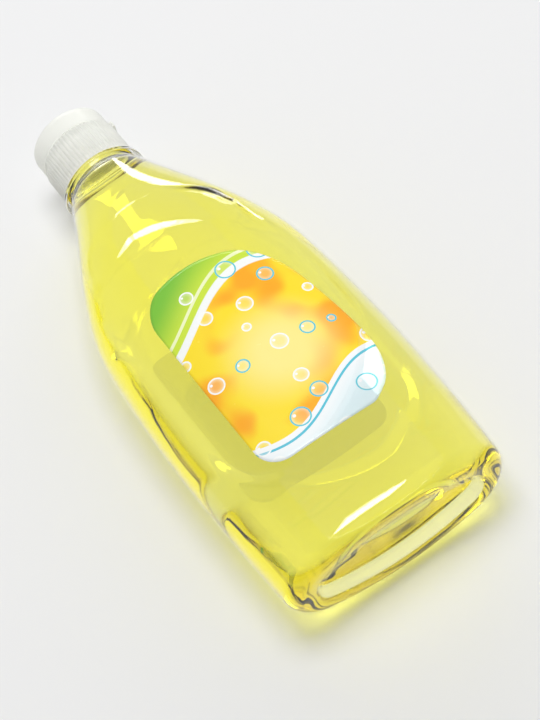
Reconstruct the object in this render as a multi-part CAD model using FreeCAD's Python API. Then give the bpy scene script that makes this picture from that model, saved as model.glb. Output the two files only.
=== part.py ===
import FreeCAD, Part

import math
import os

from FreeCAD import Vector

# A half-litre dish soap bottle lying on its back, in millimetres.
# +X is across the width, +Y runs from the base to the cap, +Z is up through the front label.

# Body of the bottle
body_height = 188.0
base_half_width = 44.6
belly_height = 62.0
belly_half_width = 46.6
chest_height = 120.0
chest_half_width = 43.6
body_half_depth = 23.0
brow_height = 150.0
brow_half_depth = 22.9
shoulder_top_radius = 16.6
shoulder_end_slope = 0.45
shoulder_end_slope_of_depth = 0.15
heel_radius = 6.0
side_arc_angle = 70.0

# How finely the ruled bands follow the body's curves
heel_bands = 3
lower_bands = 4
shoulder_bands = 6
edge_bevels = 3

# Wall, and the push-up in the base
wall = 0.6
push_up_height = 4.0
standing_ring_width = 4.5
push_up_slope = 5.0

# Outlines over the front are places across and up the bottle, from its base.
# Label panels: a recess, front and back, under an arched top edge that falls to one side. Their
# floors are parts of a cylinder along the bottle, so that a film label lies on them without creases,
# and dip under it by the top edge, where the shoulder narrows.
panel_depth = 1.6
panel_least_depth = 1.3
panel_floor_radius = 98.0
panel_left = -35.0
panel_right = 39.0
panel_top_heights = (148.0, 144.0, 96.0)
panel_top_middle = 8.0
panel_bottom_heights = (45.5, 31.8, 43.0)
panel_bottom_middle = 10.0
panel_corner_radius = 9.0

# Crescent: a half-deep terrace between the shoulder and each panel's top edge
crescent_depth = 0.7
crescent_left = -27.0
crescent_right = 28.0
crescent_top_heights = (155.0, 161.5, 147.0)
crescent_top_middle = -2.0
crescent_hidden_heights = (110.0, 106.0, 110.0)
crescent_corner_radius = 5.0

# Neck finish
neck_radius = 12.6
neck_root_radius = 14.4
neck_bore_radius = 10.9
ring_gap = 2.6
ring_radius = 16.9
ring_thickness = 1.7
ring_edge_radius = 0.5
finish_height = 13.0

# Thread of the neck and the cap
thread_pitch = 3.18
thread_turns = 1.5
thread_depth = 1.1
thread_base = 1.5
thread_crest = 0.8
thread_sunk = 0.25
thread_below_lip = 9.0

# Running and seating clearances
thread_clearance = 0.4
seat_gap = 0.05
film_gap = 0.1
label_gap = 0.06
parting_gap = 0.3

# Liquid: how deep the air lies over it inside the front panel, and how far it stays from the lip
headspace_depth = 1.45
liquid_below_lip = 1.5

# Labels
label_thickness = 0.12
front_label_left = -24.4
front_label_top_right = (25.0, 115.5)
front_label_low_right = (33.4, 40.0)
front_label_right_bulge = (31.8, 79.0)
front_label_top_middle = (-3.0, 125.4)
front_label_top_left_height = 120.5
front_label_bottom_middle = (5.0, 37.8)
front_label_low_left_height = 39.3
front_label_corner_radius = 9.0
back_label_half_width = 26.0
back_label_bottom = 44.0
back_label_top = 118.0
back_label_corner_radius = 6.0

# Flip-top cap
cap_lift = 0.6
skirt_radius = 15.6
rib_count = 60
rib_depth = 0.3
rib_rise_share = 0.3
rib_crest_share = 0.3
rib_fall_share = 0.3
skirt_edge_radius = 1.2
deck_thickness = 3.2
spout_radius = 3.2
spout_height = 2.6
orifice_radius = 1.8
thumb_recess_depth = 1.7
thumb_recess_height = 2.3
thumb_recess_half_width = 6.5
washer_thickness = 1.0
washer_hole_radius = 5.0

# Lid, with the plug that closes the orifice
lid_radius = 15.1
lid_height = 9.2
lid_wall = 1.1
lid_top = 1.2
lid_edge_radius = 2.4
plug_clearance = 0.4
plug_reach = 1.4
hinge_overhang = 0.3
hinge_land_half_width = 4.5
hinge_land_height = 1.2

# Places worked out from the sizes above
axis_height = body_half_depth
ring_bottom = body_height + ring_gap
ring_top = ring_bottom + ring_thickness
neck_lip = ring_top + finish_height
skirt_bottom = ring_top + cap_lift
washer_bottom = neck_lip + seat_gap
deck_bottom = washer_bottom + washer_thickness + seat_gap
deck_top = deck_bottom + deck_thickness
lid_bottom = deck_top + parting_gap
lid_end = lid_bottom + lid_height
cap_bore_radius = neck_radius + thread_depth + thread_clearance
hinge_reach = skirt_radius + hinge_overhang


def over_front(across, height):
    return Vector(across, height, axis_height)


def arc(first, middle, last):
    return Part.Arc(first, middle, last).toShape()


def body_size(height, base, belly, chest, chest_place, end_slope):
    """Half a width or depth of the body: it swells from the base to the belly and draws in to the chest,
    on two parabolas, and from there runs smoothly into the shoulder's top."""
    if height < belly_height:
        return belly - (belly - base) * ((belly_height - height) / belly_height) ** 2
    rise = chest_place - belly_height
    if height <= chest_place:
        return belly - (belly - chest) * ((height - belly_height) / rise) ** 2
    span = body_height - chest_place
    share = (height - chest_place) / span
    squared, cubed = share ** 2, share ** 3
    start_slope = 2.0 * (chest - belly) / rise
    drawn = chest + (shoulder_top_radius - chest) * (3.0 * squared - 2.0 * cubed)
    bend = start_slope * (share - 2.0 * squared + cubed) - end_slope * (cubed - squared)
    return drawn + span * bend


def half_sizes(height):
    """Half the width and half the depth of the body's outside at a height, the rounded heel apart."""
    half_width = body_size(
        height, base_half_width, belly_half_width, chest_half_width, chest_height, shoulder_end_slope
    )
    half_depth = body_size(
        height,
        body_half_depth,
        body_half_depth,
        brow_half_depth,
        brow_height,
        shoulder_end_slope_of_depth,
    )
    return half_width, half_depth


def oval(height, half_width, half_depth):
    """A closed section of four tangent arcs: flat ones, front and back, and tight ones at the sides."""
    angle = math.radians(side_arc_angle)
    ratio = (1.0 - math.sin(angle)) / math.cos(angle)
    side_radius = (half_depth - half_width * ratio) / (1.0 - ratio)
    side = half_width - side_radius + side_radius * math.cos(angle)
    rise = side_radius * math.sin(angle)

    def section_arc(*places):
        first, middle, last = (Vector(across, height, axis_height + up) for across, up in places)
        return Part.Arc(first, middle, last).toBSpline().toShape()

    return Part.Wire([
        section_arc((side, -rise), (half_width, 0), (side, rise)),
        section_arc((side, rise), (0, half_depth), (-side, rise)),
        section_arc((-side, rise), (-half_width, 0), (-side, -rise)),
        section_arc((-side, -rise), (0, -half_depth), (side, -rise)),
    ])


def body_form(inset):
    """The body as a solid whose skin lies inset inside the outer one, from the base to the shoulder's top."""
    radius = heel_radius - inset / 2.0
    heel_top = inset + radius
    sections = []
    for step in range(heel_bands):
        turn = 0.5 * math.pi * step / heel_bands
        height = inset + radius * (1.0 - math.cos(turn))
        half_width, half_depth = half_sizes(height)
        taken = inset + radius * (1.0 - math.sin(turn))
        sections.append(oval(height, half_width - taken, half_depth - taken))
    heights = []
    for step in range(lower_bands):
        heights.append(heel_top + (chest_height - heel_top) * step / lower_bands)
    top = body_height - inset
    for step in range(shoulder_bands + 1):
        heights.append(chest_height + (top - chest_height) * step / shoulder_bands)
    for height in heights:
        half_width, half_depth = half_sizes(height + inset * (height > chest_height))
        sections.append(oval(height, half_width - inset, half_depth - inset))
    return Part.makeLoft(sections, True, True)


def tall_prism(edges, corner_radius=0.0):
    """An outline drawn over the front, raised from the bottle's axis to above its front."""
    wire = Part.Wire(Part.__sortEdges__(edges))
    reach = 2.0 * body_half_depth
    prism = Part.Face(wire).extrude(Vector(0, 0, reach))
    if corner_radius > 0.0:
        uprights = [edge for edge in prism.Edges if edge.BoundBox.ZLength > reach / 2.0]
        prism = prism.makeFillet(corner_radius, uprights)
    return prism


def framed_prism(left, right, bottom_curve, top_curve, corner_radius):
    """A prism between two upright sides, under a curved top edge and over a curved bottom edge.
    A curve is its heights at the left side, at the middle and at the right side, and the middle's place."""
    (low_left, low_middle, low_right), low_across = bottom_curve
    (high_left, high_middle, high_right), high_across = top_curve
    corners = (
        over_front(left, low_left),
        over_front(right, low_right),
        over_front(right, high_right),
        over_front(left, high_left),
    )
    edges = [
        arc(corners[0], over_front(low_across, low_middle), corners[1]),
        Part.makeLine(corners[1], corners[2]),
        arc(corners[2], over_front(high_across, high_middle), corners[3]),
        Part.makeLine(corners[3], corners[0]),
    ]
    return tall_prism(edges, corner_radius)


def moved(heights, distance):
    return tuple(height + distance for height in heights)


def panel_prism(growth):
    """The panel's outline as a prism, grown all round by the wall where it shapes the inside."""
    bottom = (moved(panel_bottom_heights, -growth), panel_bottom_middle)
    top = (moved(panel_top_heights, growth), panel_top_middle)
    return framed_prism(panel_left - growth, panel_right + growth, bottom, top, panel_corner_radius)


def crescent_prism(growth):
    """The terrace's outline. Its lower end is hidden, because the deeper panel takes that place."""
    bottom = (crescent_hidden_heights, crescent_top_middle)
    top = (moved(crescent_top_heights, growth), crescent_top_middle)
    left, right = crescent_left - growth, crescent_right + growth
    return framed_prism(left, right, bottom, top, crescent_corner_radius)


def turned_to_back(shape):
    """The same shape on the back: half a turn about the bottle's own axis."""
    turned = shape.copy()
    turned.rotate(Vector(0, 0, axis_height), Vector(0, 1, 0), 180.0)
    return turned


def label_cylinder(inset):
    """The cylinder along the bottle that the front panel's floor follows, at an inset inside it."""
    centre_height = axis_height + body_half_depth - panel_depth - panel_floor_radius
    foot = Vector(0, 0, centre_height)
    return Part.makeCylinder(panel_floor_radius - inset, body_height, foot, Vector(0, 1, 0))


def moulded_form(inset):
    """The body's skin at an inset, with the panels and crescents pressed in on the front and the back."""
    panel_floor = label_cylinder(inset).common(body_form(inset + panel_least_depth))
    presses = [
        crescent_prism(inset).cut(body_form(inset + crescent_depth)),
        panel_prism(inset).cut(panel_floor),
    ]
    form = body_form(inset)
    for pressed in presses:
        form = form.cut([pressed, turned_to_back(pressed)])
    return form


def push_up(growth):
    """The recess under the base, as a tapered oval plug. Growth thickens it, for the wall above it."""
    low_width = base_half_width - heel_radius - standing_ring_width + growth
    low_depth = body_half_depth - heel_radius - standing_ring_width + growth
    top = push_up_height + growth
    sections = [
        oval(-growth, low_width, low_depth),
        oval(top, low_width - push_up_slope, low_depth - push_up_slope),
    ]
    return Part.makeLoft(sections, True, True)


def ring_solid(outer_radius, inner_radius, low, high):
    """A plain ring or disc about the bottle's axis."""
    centre = Vector(0, low, axis_height)
    solid = Part.makeCylinder(outer_radius, high - low, centre, Vector(0, 1, 0))
    if inner_radius > 0.0:
        solid = solid.cut(Part.makeCylinder(inner_radius, high - low, centre, Vector(0, 1, 0)))
    return solid


def rounded_disc(radius, low, high, edge_radius, both_edges):
    """A disc about the axis with its far edge rounded, or both of its edges, in a few bevels."""
    outline = [Vector(0, low, axis_height)]
    turns = [0.5 * math.pi * step / edge_bevels for step in range(edge_bevels + 1)]
    if both_edges:
        for turn in turns:
            reach = radius - edge_radius * (1.0 - math.sin(turn))
            outline.append(Vector(reach, low + edge_radius * (1.0 - math.cos(turn)), axis_height))
    else:
        outline.append(Vector(radius, low, axis_height))
    for turn in reversed(turns):
        reach = radius - edge_radius * (1.0 - math.sin(turn))
        outline.append(Vector(reach, high - edge_radius * (1.0 - math.cos(turn)), axis_height))
    outline.append(Vector(0, high, axis_height))
    outline.append(outline[0])
    face = Part.Face(Part.makePolygon(outline))
    return face.revolve(Vector(0, 0, axis_height), Vector(0, 1, 0), 360.0)


def thread_ridge(carrier_radius, outward, start):
    """One helical ridge about the axis, sunk a little into the wall that carries it. The neck's ridge
    stands outward and the cap's inward, each to a clearance from the other's wall."""
    if outward:
        root, crest = carrier_radius - thread_sunk, carrier_radius + thread_depth
    else:
        root, crest = carrier_radius + thread_sunk, neck_radius + thread_clearance
    helix = Part.makeHelix(thread_pitch, thread_pitch * thread_turns, carrier_radius)
    corners = [
        Vector(root, 0, -thread_base / 2.0),
        Vector(crest, 0, -thread_crest / 2.0),
        Vector(crest, 0, thread_crest / 2.0),
        Vector(root, 0, thread_base / 2.0),
    ]
    profile = Part.makePolygon(corners + corners[:1])
    ridge = Part.Wire(helix.Edges).makePipeShell([profile], True, True)
    ridge.rotate(Vector(0, 0, 0), Vector(1, 0, 0), -90.0)
    ridge.translate(Vector(0, start, axis_height))
    return ridge


def make_bottle():
    """The blown body with its panels, push-up base, support ring and threaded neck, hollow throughout."""
    skin = moulded_form(0.0).cut(push_up(0.0))
    neck_foot = body_height - wall
    neck = ring_solid(neck_root_radius, 0.0, neck_foot, ring_bottom + ring_edge_radius)
    ring = rounded_disc(ring_radius, ring_bottom, ring_top, ring_edge_radius, True)
    finish = ring_solid(neck_radius, 0.0, ring_top - ring_edge_radius, neck_lip)
    thread = thread_ridge(neck_radius, True, neck_lip - thread_below_lip)
    outside = skin.fuse([neck, ring, finish, thread])
    cavity = moulded_form(wall).cut(push_up(wall))
    bore = ring_solid(neck_bore_radius, 0.0, body_height - 2.0 * wall, neck_lip)
    return outside.cut(cavity.fuse(bore))


def make_dish_soap():
    """The liquid: it fills the cavity and the neck, under the level that it takes as the bottle lies."""
    inset = wall + film_gap
    column_foot = body_height - 2.0 * inset
    column = ring_solid(neck_bore_radius - film_gap, 0.0, column_foot, neck_lip - liquid_below_lip)
    filled = moulded_form(inset).cut(push_up(inset)).fuse(column)
    level = axis_height + body_half_depth - panel_depth - wall - headspace_depth
    air = Part.makeBox(
        2.0 * belly_half_width, body_height, body_half_depth, Vector(-belly_half_width, 0, level)
    )
    return filled.cut(air)


def label_solid(prism):
    """A film on the front panel's floor, cut to an outline."""
    under, over = -label_gap, -label_gap - label_thickness
    return label_cylinder(over).common(prism).cut(label_cylinder(under))


def make_front_label():
    """Straight at the left, with a top edge that falls to the right and a right side that leans in."""
    low_left = over_front(front_label_left, front_label_low_left_height)
    low_right = over_front(*front_label_low_right)
    top_right = over_front(*front_label_top_right)
    top_left = over_front(front_label_left, front_label_top_left_height)
    edges = [
        arc(low_left, over_front(*front_label_bottom_middle), low_right),
        arc(low_right, over_front(*front_label_right_bulge), top_right),
        arc(top_right, over_front(*front_label_top_middle), top_left),
        Part.makeLine(top_left, low_left),
    ]
    return label_solid(tall_prism(edges, front_label_corner_radius))


def make_back_label():
    low_left = over_front(-back_label_half_width, back_label_bottom)
    low_right = over_front(back_label_half_width, back_label_bottom)
    high_right = over_front(back_label_half_width, back_label_top)
    high_left = over_front(-back_label_half_width, back_label_top)
    edges = [
        Part.makeLine(low_left, low_right),
        Part.makeLine(low_right, high_right),
        Part.makeLine(high_right, high_left),
        Part.makeLine(high_left, low_left),
    ]
    return turned_to_back(label_solid(tall_prism(edges, back_label_corner_radius)))


def ribbed_barrel(low, high):
    """The skirt's outside: fine grip ribs all round, as one closed outline raised along the axis."""
    crest_end = rib_rise_share + rib_crest_share
    valley = skirt_radius - rib_depth
    rib_corners = [
        (0.0, valley),
        (rib_rise_share, skirt_radius),
        (crest_end, skirt_radius),
        (crest_end + rib_fall_share, valley),
    ]
    corners = []
    for rib in range(rib_count):
        for share, reach in rib_corners:
            turn = 2.0 * math.pi * (rib + share) / rib_count
            corners.append(Vector(reach * math.cos(turn), low, axis_height + reach * math.sin(turn)))
    outline = Part.makePolygon(corners + corners[:1])
    return Part.Face(outline).extrude(Vector(0, high - low, 0))


def hinge_land(low, high):
    """The flat land that carries one side of the film hinge, on the +X side."""
    inner = lid_radius - lid_wall / 2.0
    corner = Vector(inner, low, axis_height - hinge_land_half_width)
    return Part.makeBox(hinge_reach - inner, high - low, 2.0 * hinge_land_half_width, corner)


def make_cap_base():
    """Ribbed skirt, inner thread, and a deck with the spout and a thumb recess in its rim."""
    envelope = rounded_disc(skirt_radius + rib_depth, skirt_bottom, deck_top, skirt_edge_radius, False)
    barrel = ribbed_barrel(skirt_bottom, deck_top).common(envelope)
    barrel = barrel.fuse(hinge_land(deck_top - hinge_land_height, deck_top))
    hollow = ring_solid(cap_bore_radius, 0.0, skirt_bottom, deck_bottom)
    spout = ring_solid(spout_radius, 0.0, deck_bottom, deck_top + spout_height)
    orifice = ring_solid(orifice_radius, 0.0, deck_bottom, deck_top + spout_height)
    recess_corner = Vector(
        -skirt_radius - rib_depth, deck_top - thumb_recess_height, axis_height - thumb_recess_half_width
    )
    thumb_recess = Part.makeBox(
        thumb_recess_depth + rib_depth, thumb_recess_height, 2.0 * thumb_recess_half_width, recess_corner
    )
    cap = barrel.cut(hollow).fuse(spout).cut(orifice).cut(thumb_recess)
    thread = thread_ridge(cap_bore_radius, False, neck_lip - thread_below_lip - thread_pitch / 2.0)
    return cap.fuse(thread)


def make_cap_lid():
    """A domed-edge shell with the plug inside, hinged at the +X side."""
    shell = rounded_disc(lid_radius, lid_bottom, lid_end, lid_edge_radius, False)
    inside = rounded_disc(
        lid_radius - lid_wall, lid_bottom, lid_end - lid_top, lid_edge_radius - lid_wall, False
    )
    plug_tip = deck_top + spout_height - plug_reach
    plug = ring_solid(orifice_radius - plug_clearance, 0.0, plug_tip, lid_end - lid_top / 2.0)
    land = hinge_land(lid_bottom, lid_bottom + hinge_land_height)
    return shell.fuse(land).cut(inside).fuse(plug)


def make_seal_washer():
    return ring_solid(neck_radius, washer_hole_radius, washer_bottom, washer_bottom + washer_thickness)


parts = {
    "bottle": make_bottle(),
    "dish_soap": make_dish_soap(),
    "front_label": make_front_label(),
    "back_label": make_back_label(),
    "seal_washer": make_seal_washer(),
    "cap_base": make_cap_base(),
    "cap_lid": make_cap_lid(),
}

os.makedirs("parts", exist_ok=True)
for name, shape in parts.items():
    solid = shape.Solids[0]
    solid.translate(Vector(0, -lid_end / 2.0, 0))
    solid.exportStep("parts/" + name + ".step")
    volume = round(solid.Volume / 1000.0, 2)
    print(name, "solids", len(shape.Solids), "valid", solid.isValid(), "cm3", volume)
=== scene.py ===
import math

import bpy
from mathutils import Matrix, Vector


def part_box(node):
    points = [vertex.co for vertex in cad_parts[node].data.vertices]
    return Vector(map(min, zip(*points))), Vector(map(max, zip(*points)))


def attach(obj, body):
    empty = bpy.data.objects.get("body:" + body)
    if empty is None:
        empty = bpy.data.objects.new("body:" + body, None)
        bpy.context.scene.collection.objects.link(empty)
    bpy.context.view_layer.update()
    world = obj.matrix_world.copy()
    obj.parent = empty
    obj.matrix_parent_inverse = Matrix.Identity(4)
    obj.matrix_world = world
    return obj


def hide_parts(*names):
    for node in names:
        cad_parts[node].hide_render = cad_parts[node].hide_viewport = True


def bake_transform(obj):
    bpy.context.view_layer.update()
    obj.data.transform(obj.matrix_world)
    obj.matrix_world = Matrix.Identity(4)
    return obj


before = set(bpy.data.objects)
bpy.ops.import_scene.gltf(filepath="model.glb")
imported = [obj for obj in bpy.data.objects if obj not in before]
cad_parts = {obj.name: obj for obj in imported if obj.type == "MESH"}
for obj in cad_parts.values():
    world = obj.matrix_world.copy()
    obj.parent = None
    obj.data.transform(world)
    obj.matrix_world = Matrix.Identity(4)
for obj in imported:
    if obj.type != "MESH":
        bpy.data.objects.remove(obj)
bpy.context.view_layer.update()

# The looks of a half-litre dish soap bottle that lies on its back.
# Lengths are in millimetres where nothing else is said. Heights are counted along the bottle from
# its base, across is to the right seen from the base, and place() turns both into the frame's metres.

MM = 0.001
base_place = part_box("bottle")[0][1] / MM
axis_height = 23.0

# Body of the bottle, as in the solid
body_height = 188.0
base_half_width = 44.6
belly_height = 62.0
belly_half_width = 46.6
chest_height = 120.0
chest_half_width = 43.6
body_half_depth = 23.0
brow_height = 150.0
brow_half_depth = 22.9
shoulder_top_radius = 16.6
shoulder_end_slope = 0.45
shoulder_end_slope_of_depth = 0.15
heel_radius = 6.0
side_arc_angle = 70.0
push_up_height = 4.0
standing_ring_width = 4.5
push_up_slope = 3.6
wall = 0.6
film_gap = 0.1

# Panels and terraces pressed in front and back: places are across and height, over the front
panel_depth = 1.6
panel_least_depth = 1.3
panel_floor_radius = 98.0
panel_left = -35.0
panel_right = 39.0
panel_corner = 9.0
panel_top = ((-35.0, 148.0), (8.0, 144.0), (39.0, 96.0))
panel_bottom = ((-35.0, 45.5), (10.0, 31.8), (39.0, 43.0))
panel_edge = 5.6
terrace_depth = 0.7
terrace_left = -27.0
terrace_right = 28.0
terrace_top = ((-27.0, 155.0), (-2.0, 161.5), (28.0, 147.0))
terrace_bottom = 108.0
terrace_corner = 5.0
terrace_edge = 1.85
bevel_rounding = 0.15
press_blend = 0.1
least_pressed_lean = 0.3

# Liquid
headspace_depth = 1.45
liquid_below_lip = 1.5
liquid_flare = 2.0
liquid_flare_height = 0.4
liquid_neck_height = 2.0

# Neck finish
neck_radius = 12.6
neck_root_radius = 14.4
neck_root_fillet = 1.2
ring_bottom = 190.6
ring_top = 192.3
ring_radius = 16.9
ring_edge = 0.5
ring_foot_height = 0.3
ring_foot_step = 1.6
neck_foot_step = 0.3
neck_lip = 205.3
neck_bore = 10.9
neck_bore_start = 1.0
lip_edge = 0.4
thread_pitch = 3.18
thread_turns = 1.5
thread_depth = 1.1
thread_half_height = 0.75
thread_below_lip = 9.0
thread_end_steepness = 6.0
thread_flank_steepness = 1.6
thread_laps = range(-1, 3)

# Labels
label_gap = 0.06
label_thickness = 0.12
label_centre = (4.0, 80.0)
label_left = -24.4
label_right = ((25.0, 115.5), (31.8, 79.0), (33.4, 40.0))
label_top = ((-24.4, 120.5), (-3.0, 125.4), (25.0, 115.5))
label_bottom = ((-24.4, 39.3), (5.0, 37.8), (33.4, 40.0))
label_corner = 9.0
back_label_centre = (0.0, 81.0)
back_label_half_width = 26.0
back_label_bottom = 44.0
back_label_top = 118.0
back_label_corner = 6.0

# Film hinge of the cap
deck_top = 209.6
hinge_reach = 15.9
hinge_film_thickness = 0.15
hinge_film_half_width = 4.2
hinge_film_half_height = 1.1
hinge_film_sink = 0.05

# How finely the meshes follow the forms
front_points = 92
back_points = 54
side_points = 27
ring_spacing = 0.85
push_up_floor_rings = 6
push_up_slope_rings = 8
heel_rings = 10
fillet_steps = 4
neck_steps = 46
label_points = 192
label_rings = 34
hinge_film_rows = 12
outline_halvings = 28
furthest_outline = 120.0
rounding_room = 1e-9

level = axis_height + body_half_depth - panel_depth - wall - headspace_depth
panel_floor_centre = body_half_depth - panel_depth - panel_floor_radius


def place(across, height, up):
    """A point of the frame, in metres."""
    return Vector((across, base_place + height, up)) * MM


# Forms that the solid has too

def body_size(height, base, belly, chest, chest_place, end_slope):
    """Half a width or depth of the body, which swells, draws in and runs into the shoulder's top."""
    if height < belly_height:
        return belly - (belly - base) * ((belly_height - height) / belly_height) ** 2
    rise = chest_place - belly_height
    if height <= chest_place:
        return belly - (belly - chest) * ((height - belly_height) / rise) ** 2
    span = body_height - chest_place
    share = (height - chest_place) / span
    squared, cubed = share ** 2, share ** 3
    start_slope = 2.0 * (chest - belly) / rise
    drawn = chest + (shoulder_top_radius - chest) * (3.0 * squared - 2.0 * cubed)
    bend = start_slope * (share - 2.0 * squared + cubed) - end_slope * (cubed - squared)
    return drawn + span * bend


def half_sizes(height):
    """Half the width and half the depth of the body's outside at a height."""
    half_width = body_size(
        height, base_half_width, belly_half_width, chest_half_width, chest_height, shoulder_end_slope
    )
    half_depth = body_size(
        height,
        body_half_depth,
        body_half_depth,
        brow_half_depth,
        brow_height,
        shoulder_end_slope_of_depth,
    )
    return half_width, half_depth


def oval_arcs(half_width, half_depth):
    """Radius and centre of the side arc and of the front arc of a section."""
    angle = math.radians(side_arc_angle)
    ratio = (1.0 - math.sin(angle)) / math.cos(angle)
    side_radius = (half_depth - half_width * ratio) / (1.0 - ratio)
    front_radius = (half_width - side_radius) / math.cos(angle) + side_radius
    return side_radius, half_width - side_radius, front_radius, half_depth - front_radius


def section_turns():
    """The turns, from +X by the front, at which a section's points lie: closest on the front arc."""
    angle = math.radians(side_arc_angle)
    turns = []
    for start, arc_points in ((0.0, front_points), (math.pi, back_points)):
        for step in range(side_points):
            turns.append(start - angle + 2.0 * angle * step / side_points)
        for step in range(arc_points):
            turns.append(start + angle + (math.pi - 2.0 * angle) * step / arc_points)
    return turns


def oval_point(half_width, half_depth, turn):
    """A section's point and outward normal, both as across and up from the axis."""
    side_radius, side_centre, front_radius, front_centre = oval_arcs(half_width, half_depth)
    across, up = math.cos(turn), math.sin(turn)
    if abs(across) >= math.cos(math.radians(side_arc_angle)) - rounding_room:
        centre = math.copysign(side_centre, across)
        return (centre + side_radius * across, side_radius * up), (across, up)
    centre = front_centre if up > 0.0 else -front_centre
    return (front_radius * across, centre + front_radius * up), (across, up)


def smooth(share):
    """A share that starts and ends softly."""
    share = min(max(share, 0.0), 1.0)
    return share * share * (3.0 - 2.0 * share)


def bevel(share):
    """A step's share of its depth: an even slope, rounded at both ends."""
    share = min(max(share, 0.0), 1.0)
    slope = 1.0 / (1.0 - bevel_rounding)
    if share < bevel_rounding:
        return 0.5 * slope * share * share / bevel_rounding
    if share > 1.0 - bevel_rounding:
        return 1.0 - 0.5 * slope * (1.0 - share) ** 2 / bevel_rounding
    return slope * (share - 0.5 * bevel_rounding)


def circle_through(first, middle, last):
    """Centre and radius of the circle through three places."""
    (ax, ay), (bx, by), (cx, cy) = first, middle, last
    twice = 2.0 * (ax * (by - cy) + bx * (cy - ay) + cx * (ay - by))
    a, b, c = ax * ax + ay * ay, bx * bx + by * by, cx * cx + cy * cy
    x = (a * (by - cy) + b * (cy - ay) + c * (ay - by)) / twice
    y = (a * (cx - bx) + b * (ax - cx) + c * (bx - ax)) / twice
    return (x, y), math.hypot(ax - x, ay - y)


def inside_circle(circle, across, height):
    """How far a place lies inside a circle."""
    centre, radius = circle
    return radius - math.hypot(across - centre[0], height - centre[1])


def rounded_inside(first, second, corner):
    """How far inside two edges a place lies, with their corner rounded."""
    a, b = corner - first, corner - second
    return corner - math.hypot(max(a, 0.0), max(b, 0.0)) - min(max(a, b), 0.0)


panel_top_circle = circle_through(*panel_top)
panel_bottom_circle = circle_through(*panel_bottom)
terrace_top_circle = circle_through(*terrace_top)
label_top_circle = circle_through(*label_top)
label_right_circle = circle_through(*label_right)
label_bottom_circle = circle_through(*label_bottom)


def inside_panel(across, height):
    """How far a place lies inside the panel's outline. The three after it say so for theirs."""
    sides = min(across - panel_left, panel_right - across)
    top = inside_circle(panel_top_circle, across, height)
    bottom = inside_circle(panel_bottom_circle, across, height)
    return rounded_inside(sides, min(top, bottom), panel_corner)


def inside_terrace(across, height):
    sides = min(across - terrace_left, terrace_right - across)
    top = inside_circle(terrace_top_circle, across, height)
    return rounded_inside(sides, min(top, height - terrace_bottom), terrace_corner)


def inside_front_label(across, height):
    sides = min(across - label_left, inside_circle(label_right_circle, across, height))
    top = inside_circle(label_top_circle, across, height)
    bottom = inside_circle(label_bottom_circle, across, height)
    return rounded_inside(sides, min(top, bottom), label_corner)


def inside_back_label(across, height):
    sides = back_label_half_width - abs(across)
    ends = min(height - back_label_bottom, back_label_top - height)
    return rounded_inside(sides, ends, back_label_corner)


def pressed(across, height, up, lean, inset):
    """How far straight down the front is pressed in, at a place of the skin that lies inset inside the
    outer one. Up is that skin's height over the axis and lean the upward part of its normal."""
    in_panel = bevel((inside_panel(across, height) + inset) / panel_edge + 0.5)
    on_terrace = bevel((inside_terrace(across, height) + inset) / terrace_edge + 0.5)
    if in_panel + on_terrace == 0.0:
        return 0.0
    floor = panel_floor_centre + math.sqrt((panel_floor_radius - inset) ** 2 - across ** 2)
    panel = in_panel * max(up - floor, panel_least_depth / lean)
    terrace = on_terrace * terrace_depth / lean
    return 0.5 * (panel + terrace + math.hypot(panel - terrace, press_blend) - press_blend)


def body_point(height, turn, inset, half_width, half_depth):
    """A point of the pressed body at an inset inside its skin, as across and up."""
    (across, up), (_, lean) = oval_point(half_width - inset, half_depth - inset, turn)
    if abs(lean) < least_pressed_lean:
        return across, up
    if up > 0.0:
        return across, up - pressed(across, height, up, lean, inset)
    return across, up + pressed(-across, height, -up, -lean, inset)


def film_up(across, lift):
    """How high over the axis a film lies that is lifted off the panel's floor."""
    return panel_floor_centre + math.sqrt((panel_floor_radius + lift) ** 2 - across ** 2)


# Meshes

def mesh_object(name, points, faces, materials, slots=None):
    """A smooth mesh piece. Slots gives each face's place in the materials where there are several."""
    mesh = bpy.data.meshes.new(name)
    mesh.from_pydata(points, [], faces)
    for material in materials:
        mesh.materials.append(material)
    if slots:
        mesh.polygons.foreach_set("material_index", slots)
    mesh.shade_smooth()
    piece = bpy.data.objects.new(name, mesh)
    bpy.context.scene.collection.objects.link(piece)
    return piece


def ring_faces(rings, count):
    """Quads between rings of count points each."""
    faces = []
    for ring in range(rings - 1):
        low = ring * count
        for step in range(count):
            after = (step + 1) % count
            faces.append((low + step, low + count + step, low + count + after, low + after))
    return faces


def capped_rings(rings, count, start_point, end_point):
    """Points and faces of a stack of rings, closed to a point at each end. The end points come last."""
    points = [point for ring in rings for point in ring] + [start_point, end_point]
    faces = ring_faces(len(rings), count)
    start, end = len(points) - 2, len(points) - 1
    last = (len(rings) - 1) * count
    faces += [(start, step, (step + 1) % count) for step in range(count)]
    faces += [(end, last + (step + 1) % count, last + step) for step in range(count)]
    return points, faces


def thread_rise(height, turn):
    """How far the neck's thread stands out at a place on the neck, over the laps that may pass it."""
    start = neck_lip - thread_below_lip
    best = 0.0
    for lap in thread_laps:
        along = (math.pi * 0.5 - turn) / (2.0 * math.pi) + lap
        middle = start + thread_pitch * along
        near = 1.0 - abs(height - middle) / thread_half_height
        left = thread_turns - along
        fade = smooth(along * thread_end_steepness) * smooth(left * thread_end_steepness)
        best = max(best, smooth(near * thread_flank_steepness) * fade)
    return best * thread_depth


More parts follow.
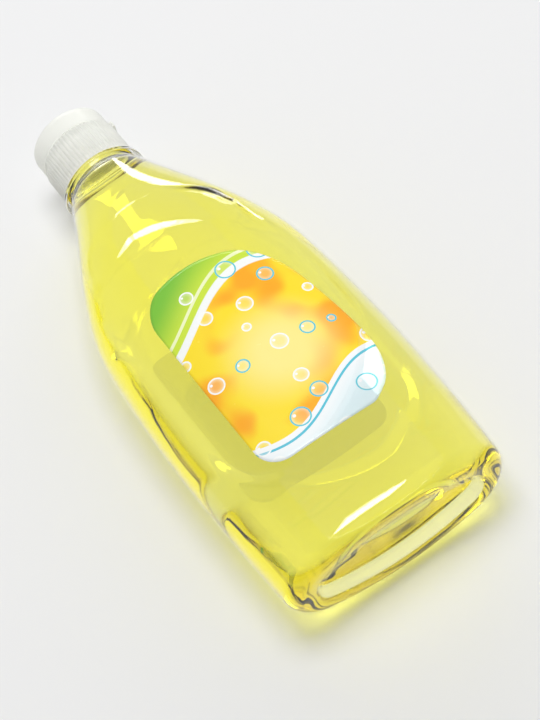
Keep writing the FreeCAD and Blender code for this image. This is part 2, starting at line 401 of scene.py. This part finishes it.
def neck_profile():
    """Radius and height along the neck: outside from the shoulder's top to the lip, and down the bore."""
    profile = []
    for step in range(1, fillet_steps + 1):
        turn = 0.5 * math.pi * step / fillet_steps
        reach = shoulder_top_radius - (shoulder_top_radius - neck_root_radius) * math.sin(turn)
        profile.append((reach, body_height + neck_root_fillet * (1.0 - math.cos(turn))))
    profile.append((neck_root_radius, ring_bottom - ring_foot_height))
    for step in range(fillet_steps + 1):
        turn = 0.5 * math.pi * step / fillet_steps
        foot = ring_foot_step if step == 0 else 0.0
        profile.append((
            ring_radius - ring_edge + ring_edge * math.sin(turn) - foot,
            ring_bottom + ring_edge * (1.0 - math.cos(turn)),
        ))
    for step in range(fillet_steps + 1):
        turn = 0.5 * math.pi * step / fillet_steps
        profile.append((
            ring_radius - ring_edge + ring_edge * math.cos(turn),
            ring_top - ring_edge + ring_edge * math.sin(turn),
        ))
    profile.append((neck_radius + neck_foot_step, ring_top))
    for step in range(1, neck_steps + 1):
        profile.append((neck_radius, ring_top + (neck_lip - lip_edge - ring_top) * step / neck_steps))
    profile.append((neck_radius - lip_edge, neck_lip))
    profile.append((neck_bore + lip_edge, neck_lip))
    for height in (neck_lip - lip_edge, ring_top, body_height + neck_bore_start):
        profile.append((neck_bore, height))
    return profile


def body_heights(inset):
    """Heights of the rings between the heel and the shoulder's top."""
    heel_top = heel_radius + inset / 2.0
    count = round((body_height - inset - heel_top) / ring_spacing)
    return [heel_top + (body_height - inset - heel_top) * step / count for step in range(count + 1)]


def body_rings(inset, turns):
    """Rings of the body at an inset: out over the push-up's floor, down its slope, round the heel and
    up to the shoulder's top."""
    rings = []
    radius = heel_radius - inset / 2.0
    low_width = base_half_width - heel_radius - standing_ring_width + inset
    low_depth = body_half_depth - heel_radius - standing_ring_width + inset
    lift = push_up_height + inset
    for step in range(1, push_up_floor_rings):
        share = step / push_up_floor_rings
        width, depth = (low_width - push_up_slope) * share, (low_depth - push_up_slope) * share
        rings.append([place(*ring_place(width, depth, turn, lift)) for turn in turns])
    for step in range(push_up_slope_rings + 1):
        share = step / push_up_slope_rings
        height = inset + (lift - inset) * (1.0 - smooth(share))
        spread = push_up_slope * (1.0 - share)
        rings.append([
            place(*ring_place(low_width - spread, low_depth - spread, turn, height)) for turn in turns
        ])
    for step in range(heel_rings):
        bend = 0.5 * math.pi * step / heel_rings
        height = inset + radius * (1.0 - math.cos(bend))
        half_width, half_depth = half_sizes(height)
        taken = inset + radius * (1.0 - math.sin(bend))
        rings.append([
            place(*ring_place(half_width - taken, half_depth - taken, turn, height)) for turn in turns
        ])
    for height in body_heights(inset):
        half_width, half_depth = half_sizes(height)
        ring = []
        for turn in turns:
            across, up = body_point(height, turn, inset, half_width, half_depth)
            ring.append(place(across, height, axis_height + up))
        rings.append(ring)
    return rings


def ring_place(half_width, half_depth, turn, height):
    """A point of an unpressed section, as place() takes it."""
    (across, up), _ = oval_point(half_width, half_depth, turn)
    return across, height, axis_height + up


def round_ring(radius, height, turns, threaded=False):
    """A ring of the neck, with the thread standing out of it where there is one."""
    ring = []
    for turn in turns:
        reach = radius + (thread_rise(height, turn) if threaded else 0.0)
        ring.append(place(reach * math.cos(turn), height, axis_height + reach * math.sin(turn)))
    return ring


def make_bottle(plastic, wetted, neck_plastic):
    """The blown body: its outer skin, the neck, and the inside of the wall, wetted up to the level."""
    turns = section_turns()
    count = len(turns)
    outside = body_rings(0.0, turns)
    neck = []
    for radius, height in neck_profile():
        neck.append(round_ring(radius, height, turns, threaded=radius == neck_radius))
    every_second_inside = body_rings(wall, turns)[::-2]
    rings = outside + neck + every_second_inside
    low_centre = place(0.0, push_up_height, axis_height)
    high_centre = place(0.0, push_up_height + wall, axis_height)
    points, faces = capped_rings(rings, count, low_centre, high_centre)
    outer_centre = len(points) - 2
    dry_slot, wet_slot, neck_slot = 0, 1, 2
    slots = []
    for index, face in enumerate(faces):
        ring = index // count
        if ring < len(outside) or face[0] == outer_centre:
            slots.append(dry_slot)
        elif ring < len(outside) + len(neck):
            slots.append(neck_slot)
        else:
            wet = min(points[corner].z for corner in face) < level * MM
            slots.append(wet_slot if wet else dry_slot)
    piece = mesh_object("clear_bottle", points, faces, (plastic, wetted, neck_plastic), slots)
    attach(piece, "bottle")
    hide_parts("bottle")


def make_soap(material):
    """The liquid against the inside of the wall, with a flat top where air lies over it."""
    turns = section_turns()
    inset = wall + film_gap
    rings = body_rings(inset, turns)
    bore = neck_bore - film_gap
    rings.append(round_ring(bore + liquid_flare, body_height - inset + liquid_flare_height, turns))
    rings.append(round_ring(bore, body_height + liquid_neck_height, turns))
    rings.append(round_ring(bore, neck_lip - liquid_below_lip, turns))
    for ring in rings:
        for point in ring:
            point.z = min(point.z, level * MM)
    centre = place(0.0, push_up_height + inset, axis_height)
    end = place(0.0, neck_lip - liquid_below_lip, axis_height)
    points, faces = capped_rings(rings, len(turns), centre, end)
    piece = mesh_object("dish_soap_liquid", points, faces, [material])
    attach(piece, "bottle")
    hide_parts("dish_soap")


def outline_reach(inside, centre, turn):
    """How far an outline lies from a centre in a direction, by halving the bracket."""
    low, high = 0.0, furthest_outline
    for _ in range(outline_halvings):
        middle = 0.5 * (low + high)
        if inside(centre[0] + middle * math.cos(turn), centre[1] + middle * math.sin(turn)) > 0.0:
            low = middle
        else:
            high = middle
    return low


def make_label(name, inside, centre, on_back, node, material):
    """A film on the panel's floor, cut to its outline, with a thin edge."""
    count = label_points
    reaches = [outline_reach(inside, centre, 2.0 * math.pi * step / count) for step in range(count)]
    side = -1.0 if on_back else 1.0

    def film_point(across, height, lift):
        return place(side * across, height, axis_height + side * film_up(across, lift))

    def film_ring(share, lift):
        ring = []
        for step in range(count):
            turn = 2.0 * math.pi * step / count
            reach = share * reaches[step]
            across, height = centre[0] + reach * math.cos(turn), centre[1] + reach * math.sin(turn)
            ring.append(film_point(across, height, lift))
        return ring

    top, under = label_gap + label_thickness, label_gap
    rings = [film_ring(step / label_rings, top) for step in range(1, label_rings + 1)]
    rings += [film_ring(step / label_rings, under) for step in range(label_rings, 0, -1)]
    points, faces = capped_rings(rings, count, film_point(*centre, top), film_point(*centre, under))
    piece = mesh_object(name, points, faces, [material])
    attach(piece, "bottle")
    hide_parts(node)


def make_hinge_film(material):
    """The thin film that joins the lid to the cap's base across the parting gap."""
    rings = []
    for row in range(hinge_film_rows + 1):
        height = deck_top + hinge_film_half_height * (2.0 * row / hinge_film_rows - 1.0)
        corners = (
            (hinge_reach - hinge_film_sink, -hinge_film_half_width),
            (hinge_reach - hinge_film_sink, hinge_film_half_width),
            (hinge_reach + hinge_film_thickness, hinge_film_half_width),
            (hinge_reach + hinge_film_thickness, -hinge_film_half_width),
        )
        rings.append([place(across, height, axis_height + up) for across, up in corners])
    low = place(hinge_reach, deck_top - hinge_film_half_height, axis_height)
    high = place(hinge_reach, deck_top + hinge_film_half_height, axis_height)
    points, faces = capped_rings(rings, 4, low, high)
    piece = mesh_object("hinge_film", points, faces, [material])
    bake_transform(piece)


# Materials

class Nodes:
    """A short way to add nodes to a material and link them."""

    def __init__(self, name):
        self.material = bpy.data.materials.new(name)
        self.material.use_nodes = True
        self.tree = self.material.node_tree
        self.tree.nodes.clear()
        self.output = self.tree.nodes.new("ShaderNodeOutputMaterial")

    def add(self, kind, **inputs):
        node = self.tree.nodes.new("ShaderNode" + kind)
        for name, value in inputs.items():
            self.set(node, name.replace("_", " "), value)
        return node

    def set(self, node, name, value):
        socket = node.inputs[name]
        if isinstance(value, bpy.types.NodeSocket):
            self.tree.links.new(value, socket)
        else:
            socket.default_value = value

    def math(self, operation, first, second=0.0, third=0.0):
        node = self.tree.nodes.new("ShaderNodeMath")
        node.operation = operation
        for index, value in enumerate((first, second, third)):
            if isinstance(value, bpy.types.NodeSocket):
                self.tree.links.new(value, node.inputs[index])
            else:
                node.inputs[index].default_value = value
        return node.outputs[0]

    def mix(self, share, first, second):
        node = self.tree.nodes.new("ShaderNodeMix")
        node.data_type = "RGBA"
        for socket, value in ((node.inputs[0], share), (node.inputs[6], first), (node.inputs[7], second)):
            if isinstance(value, bpy.types.NodeSocket):
                self.tree.links.new(value, socket)
            else:
                socket.default_value = value
        return node.outputs[2]

    def ramp(self, value, low, high):
        """0 below low and 1 above high, or the other way round, with a soft step between them."""
        node = self.tree.nodes.new("ShaderNodeMapRange")
        node.interpolation_type = "SMOOTHSTEP"
        for name, entry in (("Value", value), ("From Min", low), ("From Max", high)):
            self.set(node, name, entry)
        return node.outputs[0]

    def stripe(self, value, middle, half_width):
        """1 where a value is within half a width of the middle, with a thin soft edge."""
        off = self.math("ABSOLUTE", self.math("SUBTRACT", value, middle))
        return self.ramp(off, half_width * (1.0 + stripe_softness), half_width * (1.0 - stripe_softness))

    def wave(self, along, height, length, start, base):
        """A sine wave's height at a place along it."""
        turn = self.math("DIVIDE", self.math("SUBTRACT", along, start), length)
        return self.math("MULTIPLY_ADD", self.math("SINE", turn), height, base)

    def distance(self, first, second, first_centre, second_centre):
        """How far a place lies from a centre, in a plane."""
        off = self.math("SUBTRACT", first, first_centre)
        up = self.math("SUBTRACT", second, second_centre)
        squares = self.math("MULTIPLY_ADD", off, off, self.math("MULTIPLY", up, up))
        return self.math("SQRT", squares)

    def vector(self, operation, first, second):
        node = self.tree.nodes.new("ShaderNodeVectorMath")
        node.operation = operation
        self.tree.links.new(first, node.inputs[0])
        self.tree.links.new(second, node.inputs[1])
        return node.outputs[0]

    def millimetres(self):
        """The object's own places across and along it, in millimetres."""
        where = self.add("SeparateXYZ", Vector=self.add("TexCoord").outputs["Object"])
        return self.math("DIVIDE", where.outputs[0], MM), self.math("DIVIDE", where.outputs[1], MM)

    def mix_shaders(self, share, first, second):
        node = self.tree.nodes.new("ShaderNodeMixShader")
        for socket, value in zip(node.inputs, (share, first, second)):
            if isinstance(value, bpy.types.NodeSocket):
                self.tree.links.new(value, socket)
            else:
                socket.default_value = value
        return node.outputs[0]

    def surface(self, socket):
        self.tree.links.new(socket, self.output.inputs["Surface"])

    def volume(self, socket):
        self.tree.links.new(socket, self.output.inputs["Volume"])


# Colours and values of the materials. Places on the label's print are millimetres from the middle of
# the frame, and a wave has its height, length, start and base.

white = (1.0, 1.0, 1.0, 1.0)
grazing_power = 5.0
dry_gloss = 0.055
wetted_gloss = 0.003
plastic_refraction = 1.5
soap_refraction = 1.42
soap_gloss_tint = (0.3, 0.3, 0.3, 1.0)
soap_absorption = (0.988, 0.969, 0.0, 1.0)
soap_density = 52.0
lamps_through_neck = (0.9, 0.9, 0.9, 1.0)
lamps_through_soap = (0.7, 0.7, 0.7, 1.0)
lamps_through_cap = (0.55, 0.55, 0.53, 1.0)
wave_distance = 0.004
back_film_share = 0.06
film_shade, film_light = (0.9, 0.92, 0.88, 1.0), (0.95, 0.96, 0.93, 1.0)
cap_refraction = 1.49
cap_clearness = 0.3
veil_share = 0.35
cap_shade, cap_light = (0.93, 0.935, 0.9, 1.0), (0.96, 0.96, 0.94, 1.0)
foam_shade, foam_light = (0.86, 0.86, 0.84, 1.0), (0.94, 0.94, 0.92, 1.0)
floor_colour = (0.86, 0.86, 0.86, 1.0)
floor_seen_through_colour = (0.9, 0.9, 0.9, 1.0)
floor_seen_through_share = 0.88

stripe_softness = 0.15
print_yellow = (1.0, 0.76, 0.02, 1.0)
print_orange = (1.0, 0.42, 0.01, 1.0)
blotch_start, blotch_end = 0.45, 0.66
print_glow = (1.0, 0.9, 0.35, 1.0)
glow_centre, glow_end, glow_start, glow_share = (6.0, -34.0), 26.0, 6.0, 0.8
print_lime = (0.62, 0.8, 0.05, 1.0)
print_leaf_green = (0.2, 0.55, 0.04, 1.0)
lime_rise, leaf_green_rise = 2.0, 20.0
print_milk = (0.95, 0.97, 0.95, 1.0)
print_pale_lime = (0.9, 0.96, 0.55, 1.0)
top_wave = (11.0, 17.0, -12.0, -6.0)
white_stripe_half_width = 1.7
lime_stripe_rise, lime_stripe_half_width = 5.2, 0.7
print_mist = (0.75, 0.9, 0.93, 1.0)
print_foam = (0.96, 0.97, 0.97, 1.0)
print_blue = (0.1, 0.55, 0.7, 1.0)
foot_wave = (8.0, 13.0, 10.0, -56.0)
foam_depth = 14.0
blue_line_drop, blue_line_half_width = 2.6, 0.5
soft_edge = 0.15
bubble_cell = 13.0
bubble_scatter = 0.75
bubble_least_radius, bubble_more_radius = 0.12, 0.2
bubbles_left_out = 0.25
bubbles_in_white = 0.6
bubble_white = (0.97, 0.99, 0.97, 1.0)
bubble_blue = (0.12, 0.6, 0.72, 1.0)
bubble_fill = (1.0, 1.0, 0.92, 1.0)
bubble_rim_share, bubble_middle_loss, bubble_rim_width = 0.45, 0.35, 0.16
bubble_line_inset, bubble_line_half_width = 0.02, 0.022
bubble_soft_edge = 0.01
spot_shift, spot_end, spot_start = 5.5, 2.6, 1.8


def noise(nodes, scale, detail=2.0):
    """Noise over the object's own places, with its scale in spots a metre."""
    where = nodes.add("TexCoord").outputs["Object"]
    return nodes.add("TexNoise", Vector=where, Scale=scale, Detail=detail).outputs["Fac"]


def uneven(nodes, scale, spread, least):
    """A roughness that varies a little over the surface."""
    return nodes.math("MULTIPLY_ADD", noise(nodes, scale), spread, least)


def waviness(nodes, scale, detail, strength):
    """Shallow waves in the surface, as the normal that they give it."""
    height = noise(nodes, scale, detail)
    return nodes.add("Bump", Height=height, Strength=strength, Distance=wave_distance).outputs[0]


def let_lamps_through(nodes, glass, tint):
    """Glass that passes a part of the lamps' light straight on, so that the floor under it is lit."""
    clear = nodes.add("BsdfTransparent", Color=tint)
    path = nodes.add("LightPath")
    return nodes.mix_shaders(path.outputs["Is Shadow Ray"], glass, clear.outputs[0])


def thin_plastic(name, straight_gloss):
    """A thin clear wall: it doesn't bend light, and shines more where it is seen at a low angle."""
    nodes = Nodes(name)
    bump = waviness(nodes, scale=30.0, detail=1.0, strength=0.06)
    roughness = uneven(nodes, scale=60.0, spread=0.03, least=0.015)
    gloss = nodes.add("BsdfGlossy", Color=white, Roughness=roughness, Normal=bump)
    clear = nodes.add("BsdfTransparent", Color=white)
    facing = nodes.add("LayerWeight", Blend=0.5, Normal=bump).outputs["Facing"]
    grazing = nodes.math("POWER", facing, grazing_power)
    share = nodes.math("MULTIPLY_ADD", grazing, 1.0 - straight_gloss, straight_gloss)
    nodes.surface(nodes.mix_shaders(share, clear.outputs[0], gloss.outputs[0]))
    return nodes.material


def thick_plastic():
    """The neck's thicker plastic, which bends light."""
    nodes = Nodes("clear neck plastic")
    glass = nodes.add(
        "BsdfPrincipled",
        Base_Color=white,
        Roughness=uneven(nodes, scale=80.0, spread=0.03, least=0.0),
        Transmission_Weight=1.0,
        IOR=plastic_refraction,
    )
    nodes.surface(let_lamps_through(nodes, glass.outputs[0], lamps_through_neck))
    return nodes.material


def soap():
    """A clear liquid that takes the blue out of what shines through it."""
    nodes = Nodes("yellow soap")
    glass = nodes.add(
        "BsdfPrincipled",
        Base_Color=white,
        Transmission_Weight=1.0,
        Roughness=0.0,
        IOR=soap_refraction,
        Specular_Tint=soap_gloss_tint,
        Normal=waviness(nodes, scale=34.0, detail=1.5, strength=0.1),
    )
    nodes.surface(let_lamps_through(nodes, glass.outputs[0], lamps_through_soap))
    absorption = nodes.add("VolumeAbsorption", Color=soap_absorption, Density=soap_density)
    nodes.volume(absorption.outputs[0])
    return nodes.material


def print_field(nodes, across, along):
    """Yellow with orange blotches and a pale glow."""
    blotches = nodes.ramp(noise(nodes, scale=55.0, detail=1.0), blotch_start, blotch_end)
    field = nodes.mix(blotches, print_yellow, print_orange)
    glow = nodes.ramp(nodes.distance(across, along, *glow_centre), glow_end, glow_start)
    return nodes.mix(nodes.math("MULTIPLY", glow, glow_share), field, print_glow)


def print_green_top(nodes, across, along, colour):
    """Green above a wave, with a white stripe along it and a pale one over that."""
    over_wave = nodes.math("SUBTRACT", along, nodes.wave(across, *top_wave))
    rise = nodes.ramp(over_wave, lime_rise, leaf_green_rise)
    green = nodes.mix(rise, print_lime, print_leaf_green)
    colour = nodes.mix(nodes.ramp(over_wave, -soft_edge, soft_edge), colour, green)
    colour = nodes.mix(nodes.stripe(over_wave, 0.0, white_stripe_half_width), colour, print_milk)
    pale = nodes.stripe(over_wave, lime_stripe_rise, lime_stripe_half_width)
    return nodes.mix(pale, colour, print_pale_lime)


def print_white_foot(nodes, across, along, colour):
    """White below a wave at the foot, with a blue line along it."""
    over_wave = nodes.math("SUBTRACT", along, nodes.wave(across, *foot_wave))
    foam_white = nodes.mix(nodes.ramp(over_wave, -foam_depth, 0.0), print_mist, print_foam)
    colour = nodes.mix(nodes.ramp(over_wave, soft_edge, -soft_edge), colour, foam_white)
    line = nodes.stripe(over_wave, -blue_line_drop, blue_line_half_width)
    return nodes.mix(line, colour, print_blue)


def print_bubbles(nodes, across, along, colour):
    """A soap bubble in most cells of a loose grid: a ring, a pale fill and a bright spot. Radii are
    shares of a cell, except the spot's, which are millimetres for a radius of one cell."""
    flat = nodes.add("CombineXYZ", X=across, Y=along).outputs[0]
    cells = nodes.tree.nodes.new("ShaderNodeTexVoronoi")
    cells.voronoi_dimensions = "2D"
    nodes.set(cells, "Vector", flat)
    nodes.set(cells, "Scale", 1.0 / bubble_cell)
    nodes.set(cells, "Randomness", bubble_scatter)
    chance = nodes.add("SeparateColor", Color=cells.outputs["Color"])
    radius = nodes.math("MULTIPLY_ADD", chance.outputs[0], bubble_more_radius, bubble_least_radius)
    reach = nodes.math("SUBTRACT", cells.outputs["Distance"], radius)
    shown = nodes.math("GREATER_THAN", chance.outputs[1], bubbles_left_out)
    in_blue = nodes.math("GREATER_THAN", chance.outputs[2], bubbles_in_white)
    ring_colour = nodes.mix(in_blue, bubble_white, bubble_blue)

    towards_middle = nodes.ramp(reach, 0.0, -bubble_rim_width)
    fill = nodes.math("MULTIPLY_ADD", towards_middle, -bubble_middle_loss, bubble_rim_share)
    within = nodes.math("MULTIPLY", nodes.ramp(reach, bubble_soft_edge, -bubble_soft_edge), shown)
    colour = nodes.mix(nodes.math("MULTIPLY", within, fill), colour, bubble_fill)
    ring = nodes.stripe(reach, -bubble_line_inset, bubble_line_half_width)
    colour = nodes.mix(nodes.math("MULTIPLY", ring, shown), colour, ring_colour)

    spot_place = nodes.vector("SUBTRACT", flat, cells.outputs["Position"])
    spot_parts = nodes.add("SeparateXYZ", Vector=spot_place)
    left = nodes.math("MULTIPLY", radius, -spot_shift)
    up = nodes.math("MULTIPLY", radius, spot_shift)
    off_spot = nodes.distance(spot_parts.outputs[0], spot_parts.outputs[1], left, up)
    spot = nodes.ramp(nodes.math("DIVIDE", off_spot, radius), spot_end, spot_start)
    return nodes.mix(nodes.math("MULTIPLY", spot, shown), colour, white)


def label_print():
    """A bright print of waves and soap bubbles on yellow, green at the top and white at the foot."""
    nodes = Nodes("label print")
    across, along = nodes.millimetres()
    colour = print_field(nodes, across, along)
    colour = print_green_top(nodes, across, along, colour)
    colour = print_white_foot(nodes, across, along, colour)
    colour = print_bubbles(nodes, across, along, colour)
    film = nodes.add(
        "BsdfPrincipled",
        Base_Color=colour,
        Roughness=uneven(nodes, scale=300.0, spread=0.1, least=0.2),
        Normal=waviness(nodes, scale=45.0, detail=1.0, strength=0.04),
    )
    nodes.surface(film.outputs[0])
    return nodes.material


def plain_film():
    """A thin film that light shines through."""
    nodes = Nodes("plain label film")
    colour = nodes.mix(noise(nodes, scale=60.0), film_shade, film_light)
    film = nodes.add("BsdfTranslucent", Color=colour)
    clear = nodes.add("BsdfTransparent", Color=white)
    nodes.surface(nodes.mix_shaders(back_film_share, clear.outputs[0], film.outputs[0]))
    return nodes.material


def milky_plastic():
    """The cap's plastic: partly clear, with a veil that light shines through."""
    nodes = Nodes("milky polypropylene")
    grain = noise(nodes, scale=90.0)
    colour = nodes.mix(grain, cap_shade, cap_light)
    plastic = nodes.add(
        "BsdfPrincipled",
        Base_Color=colour,
        Roughness=nodes.math("MULTIPLY_ADD", grain, 0.15, 0.25),
        Transmission_Weight=cap_clearness,
        IOR=cap_refraction,
    )
    veil = nodes.add("BsdfTranslucent", Color=colour)
    milky = nodes.mix_shaders(veil_share, plastic.outputs[0], veil.outputs[0])
    nodes.surface(let_lamps_through(nodes, milky, lamps_through_cap))
    return nodes.material


def foam():
    nodes = Nodes("washer foam")
    colour = nodes.mix(noise(nodes, scale=900.0), foam_shade, foam_light)
    nodes.surface(nodes.add("BsdfPrincipled", Base_Color=colour, Roughness=0.8).outputs[0])
    return nodes.material


def floor_material():
    """Pale, with the object's shadow, and nearly evenly pale where it is seen through the liquid."""
    nodes = Nodes("pale floor")
    plain = nodes.add("BsdfPrincipled", Base_Color=floor_colour, Roughness=0.9, Specular_IOR_Level=0.0)
    even = nodes.add("Emission", Color=floor_seen_through_colour)
    seen_through = nodes.add("LightPath").outputs["Is Transmission Ray"]
    share = nodes.math("MULTIPLY", seen_through, floor_seen_through_share)
    nodes.surface(nodes.mix_shaders(share, plain.outputs[0], even.outputs[0]))
    return nodes.material


# Studio, in metres. The sky is brighter where it is seen than where it lights.

floor_half = 3.0
sky_colour = (0.98, 0.985, 1.0, 1.0)
light_strength = 0.37
seen_strength = 0.9
reflected_strength = 0.55
overhead_place, overhead_size, overhead_watts = (0.1, 0.22, 2.0), (1.1, 0.85), 24.0
behind_place, behind_size, behind_watts = (0.75, 1.75, 0.62), (1.9, 0.24), 12.5


def make_floor():
    corners = [(-1.0, -1.0), (1.0, -1.0), (1.0, 1.0), (-1.0, 1.0)]
    points = [(floor_half * across, floor_half * along, 0.0) for across, along in corners]
    floor = mesh_object("floor", points, [(0, 1, 2, 3)], [floor_material()])


def soft_light(name, where, size, watts):
    """A rectangular lamp in metres that faces the middle of the floor."""
    data = bpy.data.lights.new(name, "AREA")
    data.shape = "RECTANGLE"
    data.size, data.size_y = size
    data.energy = watts
    lamp = bpy.data.objects.new(name, data)
    lamp.location = where
    lamp.rotation_euler = (-Vector(where)).to_track_quat("-Z", "Y").to_euler()
    bpy.context.scene.collection.objects.link(lamp)


def make_light():
    """The sky, whose strength depends on whether it is seen, mirrored or only lights, and two lamps."""
    world = bpy.data.worlds.new("studio")
    bpy.context.scene.world = world
    world.use_nodes = True
    tree = world.node_tree
    background = tree.nodes["Background"]
    background.inputs["Color"].default_value = sky_colour
    path = tree.nodes.new("ShaderNodeLightPath")
    strength = None
    for kind, seen in (
        ("Is Camera Ray", seen_strength),
        ("Is Transmission Ray", seen_strength),
        ("Is Glossy Ray", reflected_strength),
    ):
        step = tree.nodes.new("ShaderNodeMath")
        step.operation = "MULTIPLY_ADD"
        step.inputs[1].default_value = seen - light_strength
        step.inputs[2].default_value = light_strength
        tree.links.new(path.outputs[kind], step.inputs[0])
        if strength:
            tree.links.new(strength, step.inputs[2])
        strength = step.outputs[0]
    tree.links.new(strength, background.inputs["Strength"])
    soft_light("overhead", overhead_place, overhead_size, overhead_watts)
    soft_light("behind", behind_place, behind_size, behind_watts)


# Camera of the photograph, in degrees and metres: its turn round the bottle, its rise over the
# horizon and its roll
camera_turn = -19.4954
camera_rise = 56.2565
camera_roll = -17.075
camera_distance = 1.0
camera_aim = (0.00433, -0.02252, 0.024)
camera_lens = 143.1
camera_clip_start = 0.01


def make_camera():
    """Looks at its aim from the turn and rise, with the picture rolled."""
    turn, rise, roll = (math.radians(value) for value in (camera_turn, camera_rise, camera_roll))
    back = Vector((
        math.sin(turn) * math.cos(rise), -math.cos(turn) * math.cos(rise), math.sin(rise)
    ))
    right = (-back).cross(Vector((0, 0, 1))).normalized()
    up = right.cross(-back)
    rolled_right = math.cos(roll) * right + math.sin(roll) * up
    rolled_up = -math.sin(roll) * right + math.cos(roll) * up
    data = bpy.data.cameras.new("photo view")
    data.lens = camera_lens
    data.sensor_fit = "AUTO"
    data.clip_start = camera_clip_start
    camera = bpy.data.objects.new("photo view", data)
    axes = Matrix((rolled_right, rolled_up, back)).transposed().to_4x4()
    camera.matrix_world = Matrix.Translation(Vector(camera_aim) + camera_distance * back) @ axes
    bpy.context.scene.collection.objects.link(camera)
    bpy.context.scene.camera = camera


bpy.context.scene.view_settings.view_transform = "Standard"
make_camera()
make_light()
make_floor()

make_bottle(
    thin_plastic("clear plastic", dry_gloss), thin_plastic("wetted plastic", wetted_gloss), thick_plastic()
)
make_soap(soap())
make_label(
    "printed_front_label", inside_front_label, label_centre, False,
    "front_label", label_print(),
)
make_label(
    "plain_back_label", inside_back_label, back_label_centre, True,
    "back_label", plain_film(),
)
milky = milky_plastic()
for node in ("cap_base", "cap_lid"):
    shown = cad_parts[node]
    shown.data.materials.clear()
    shown.data.materials.append(milky)
make_hinge_film(milky)
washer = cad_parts["seal_washer"]
washer.data.materials.clear()
washer.data.materials.append(foam())
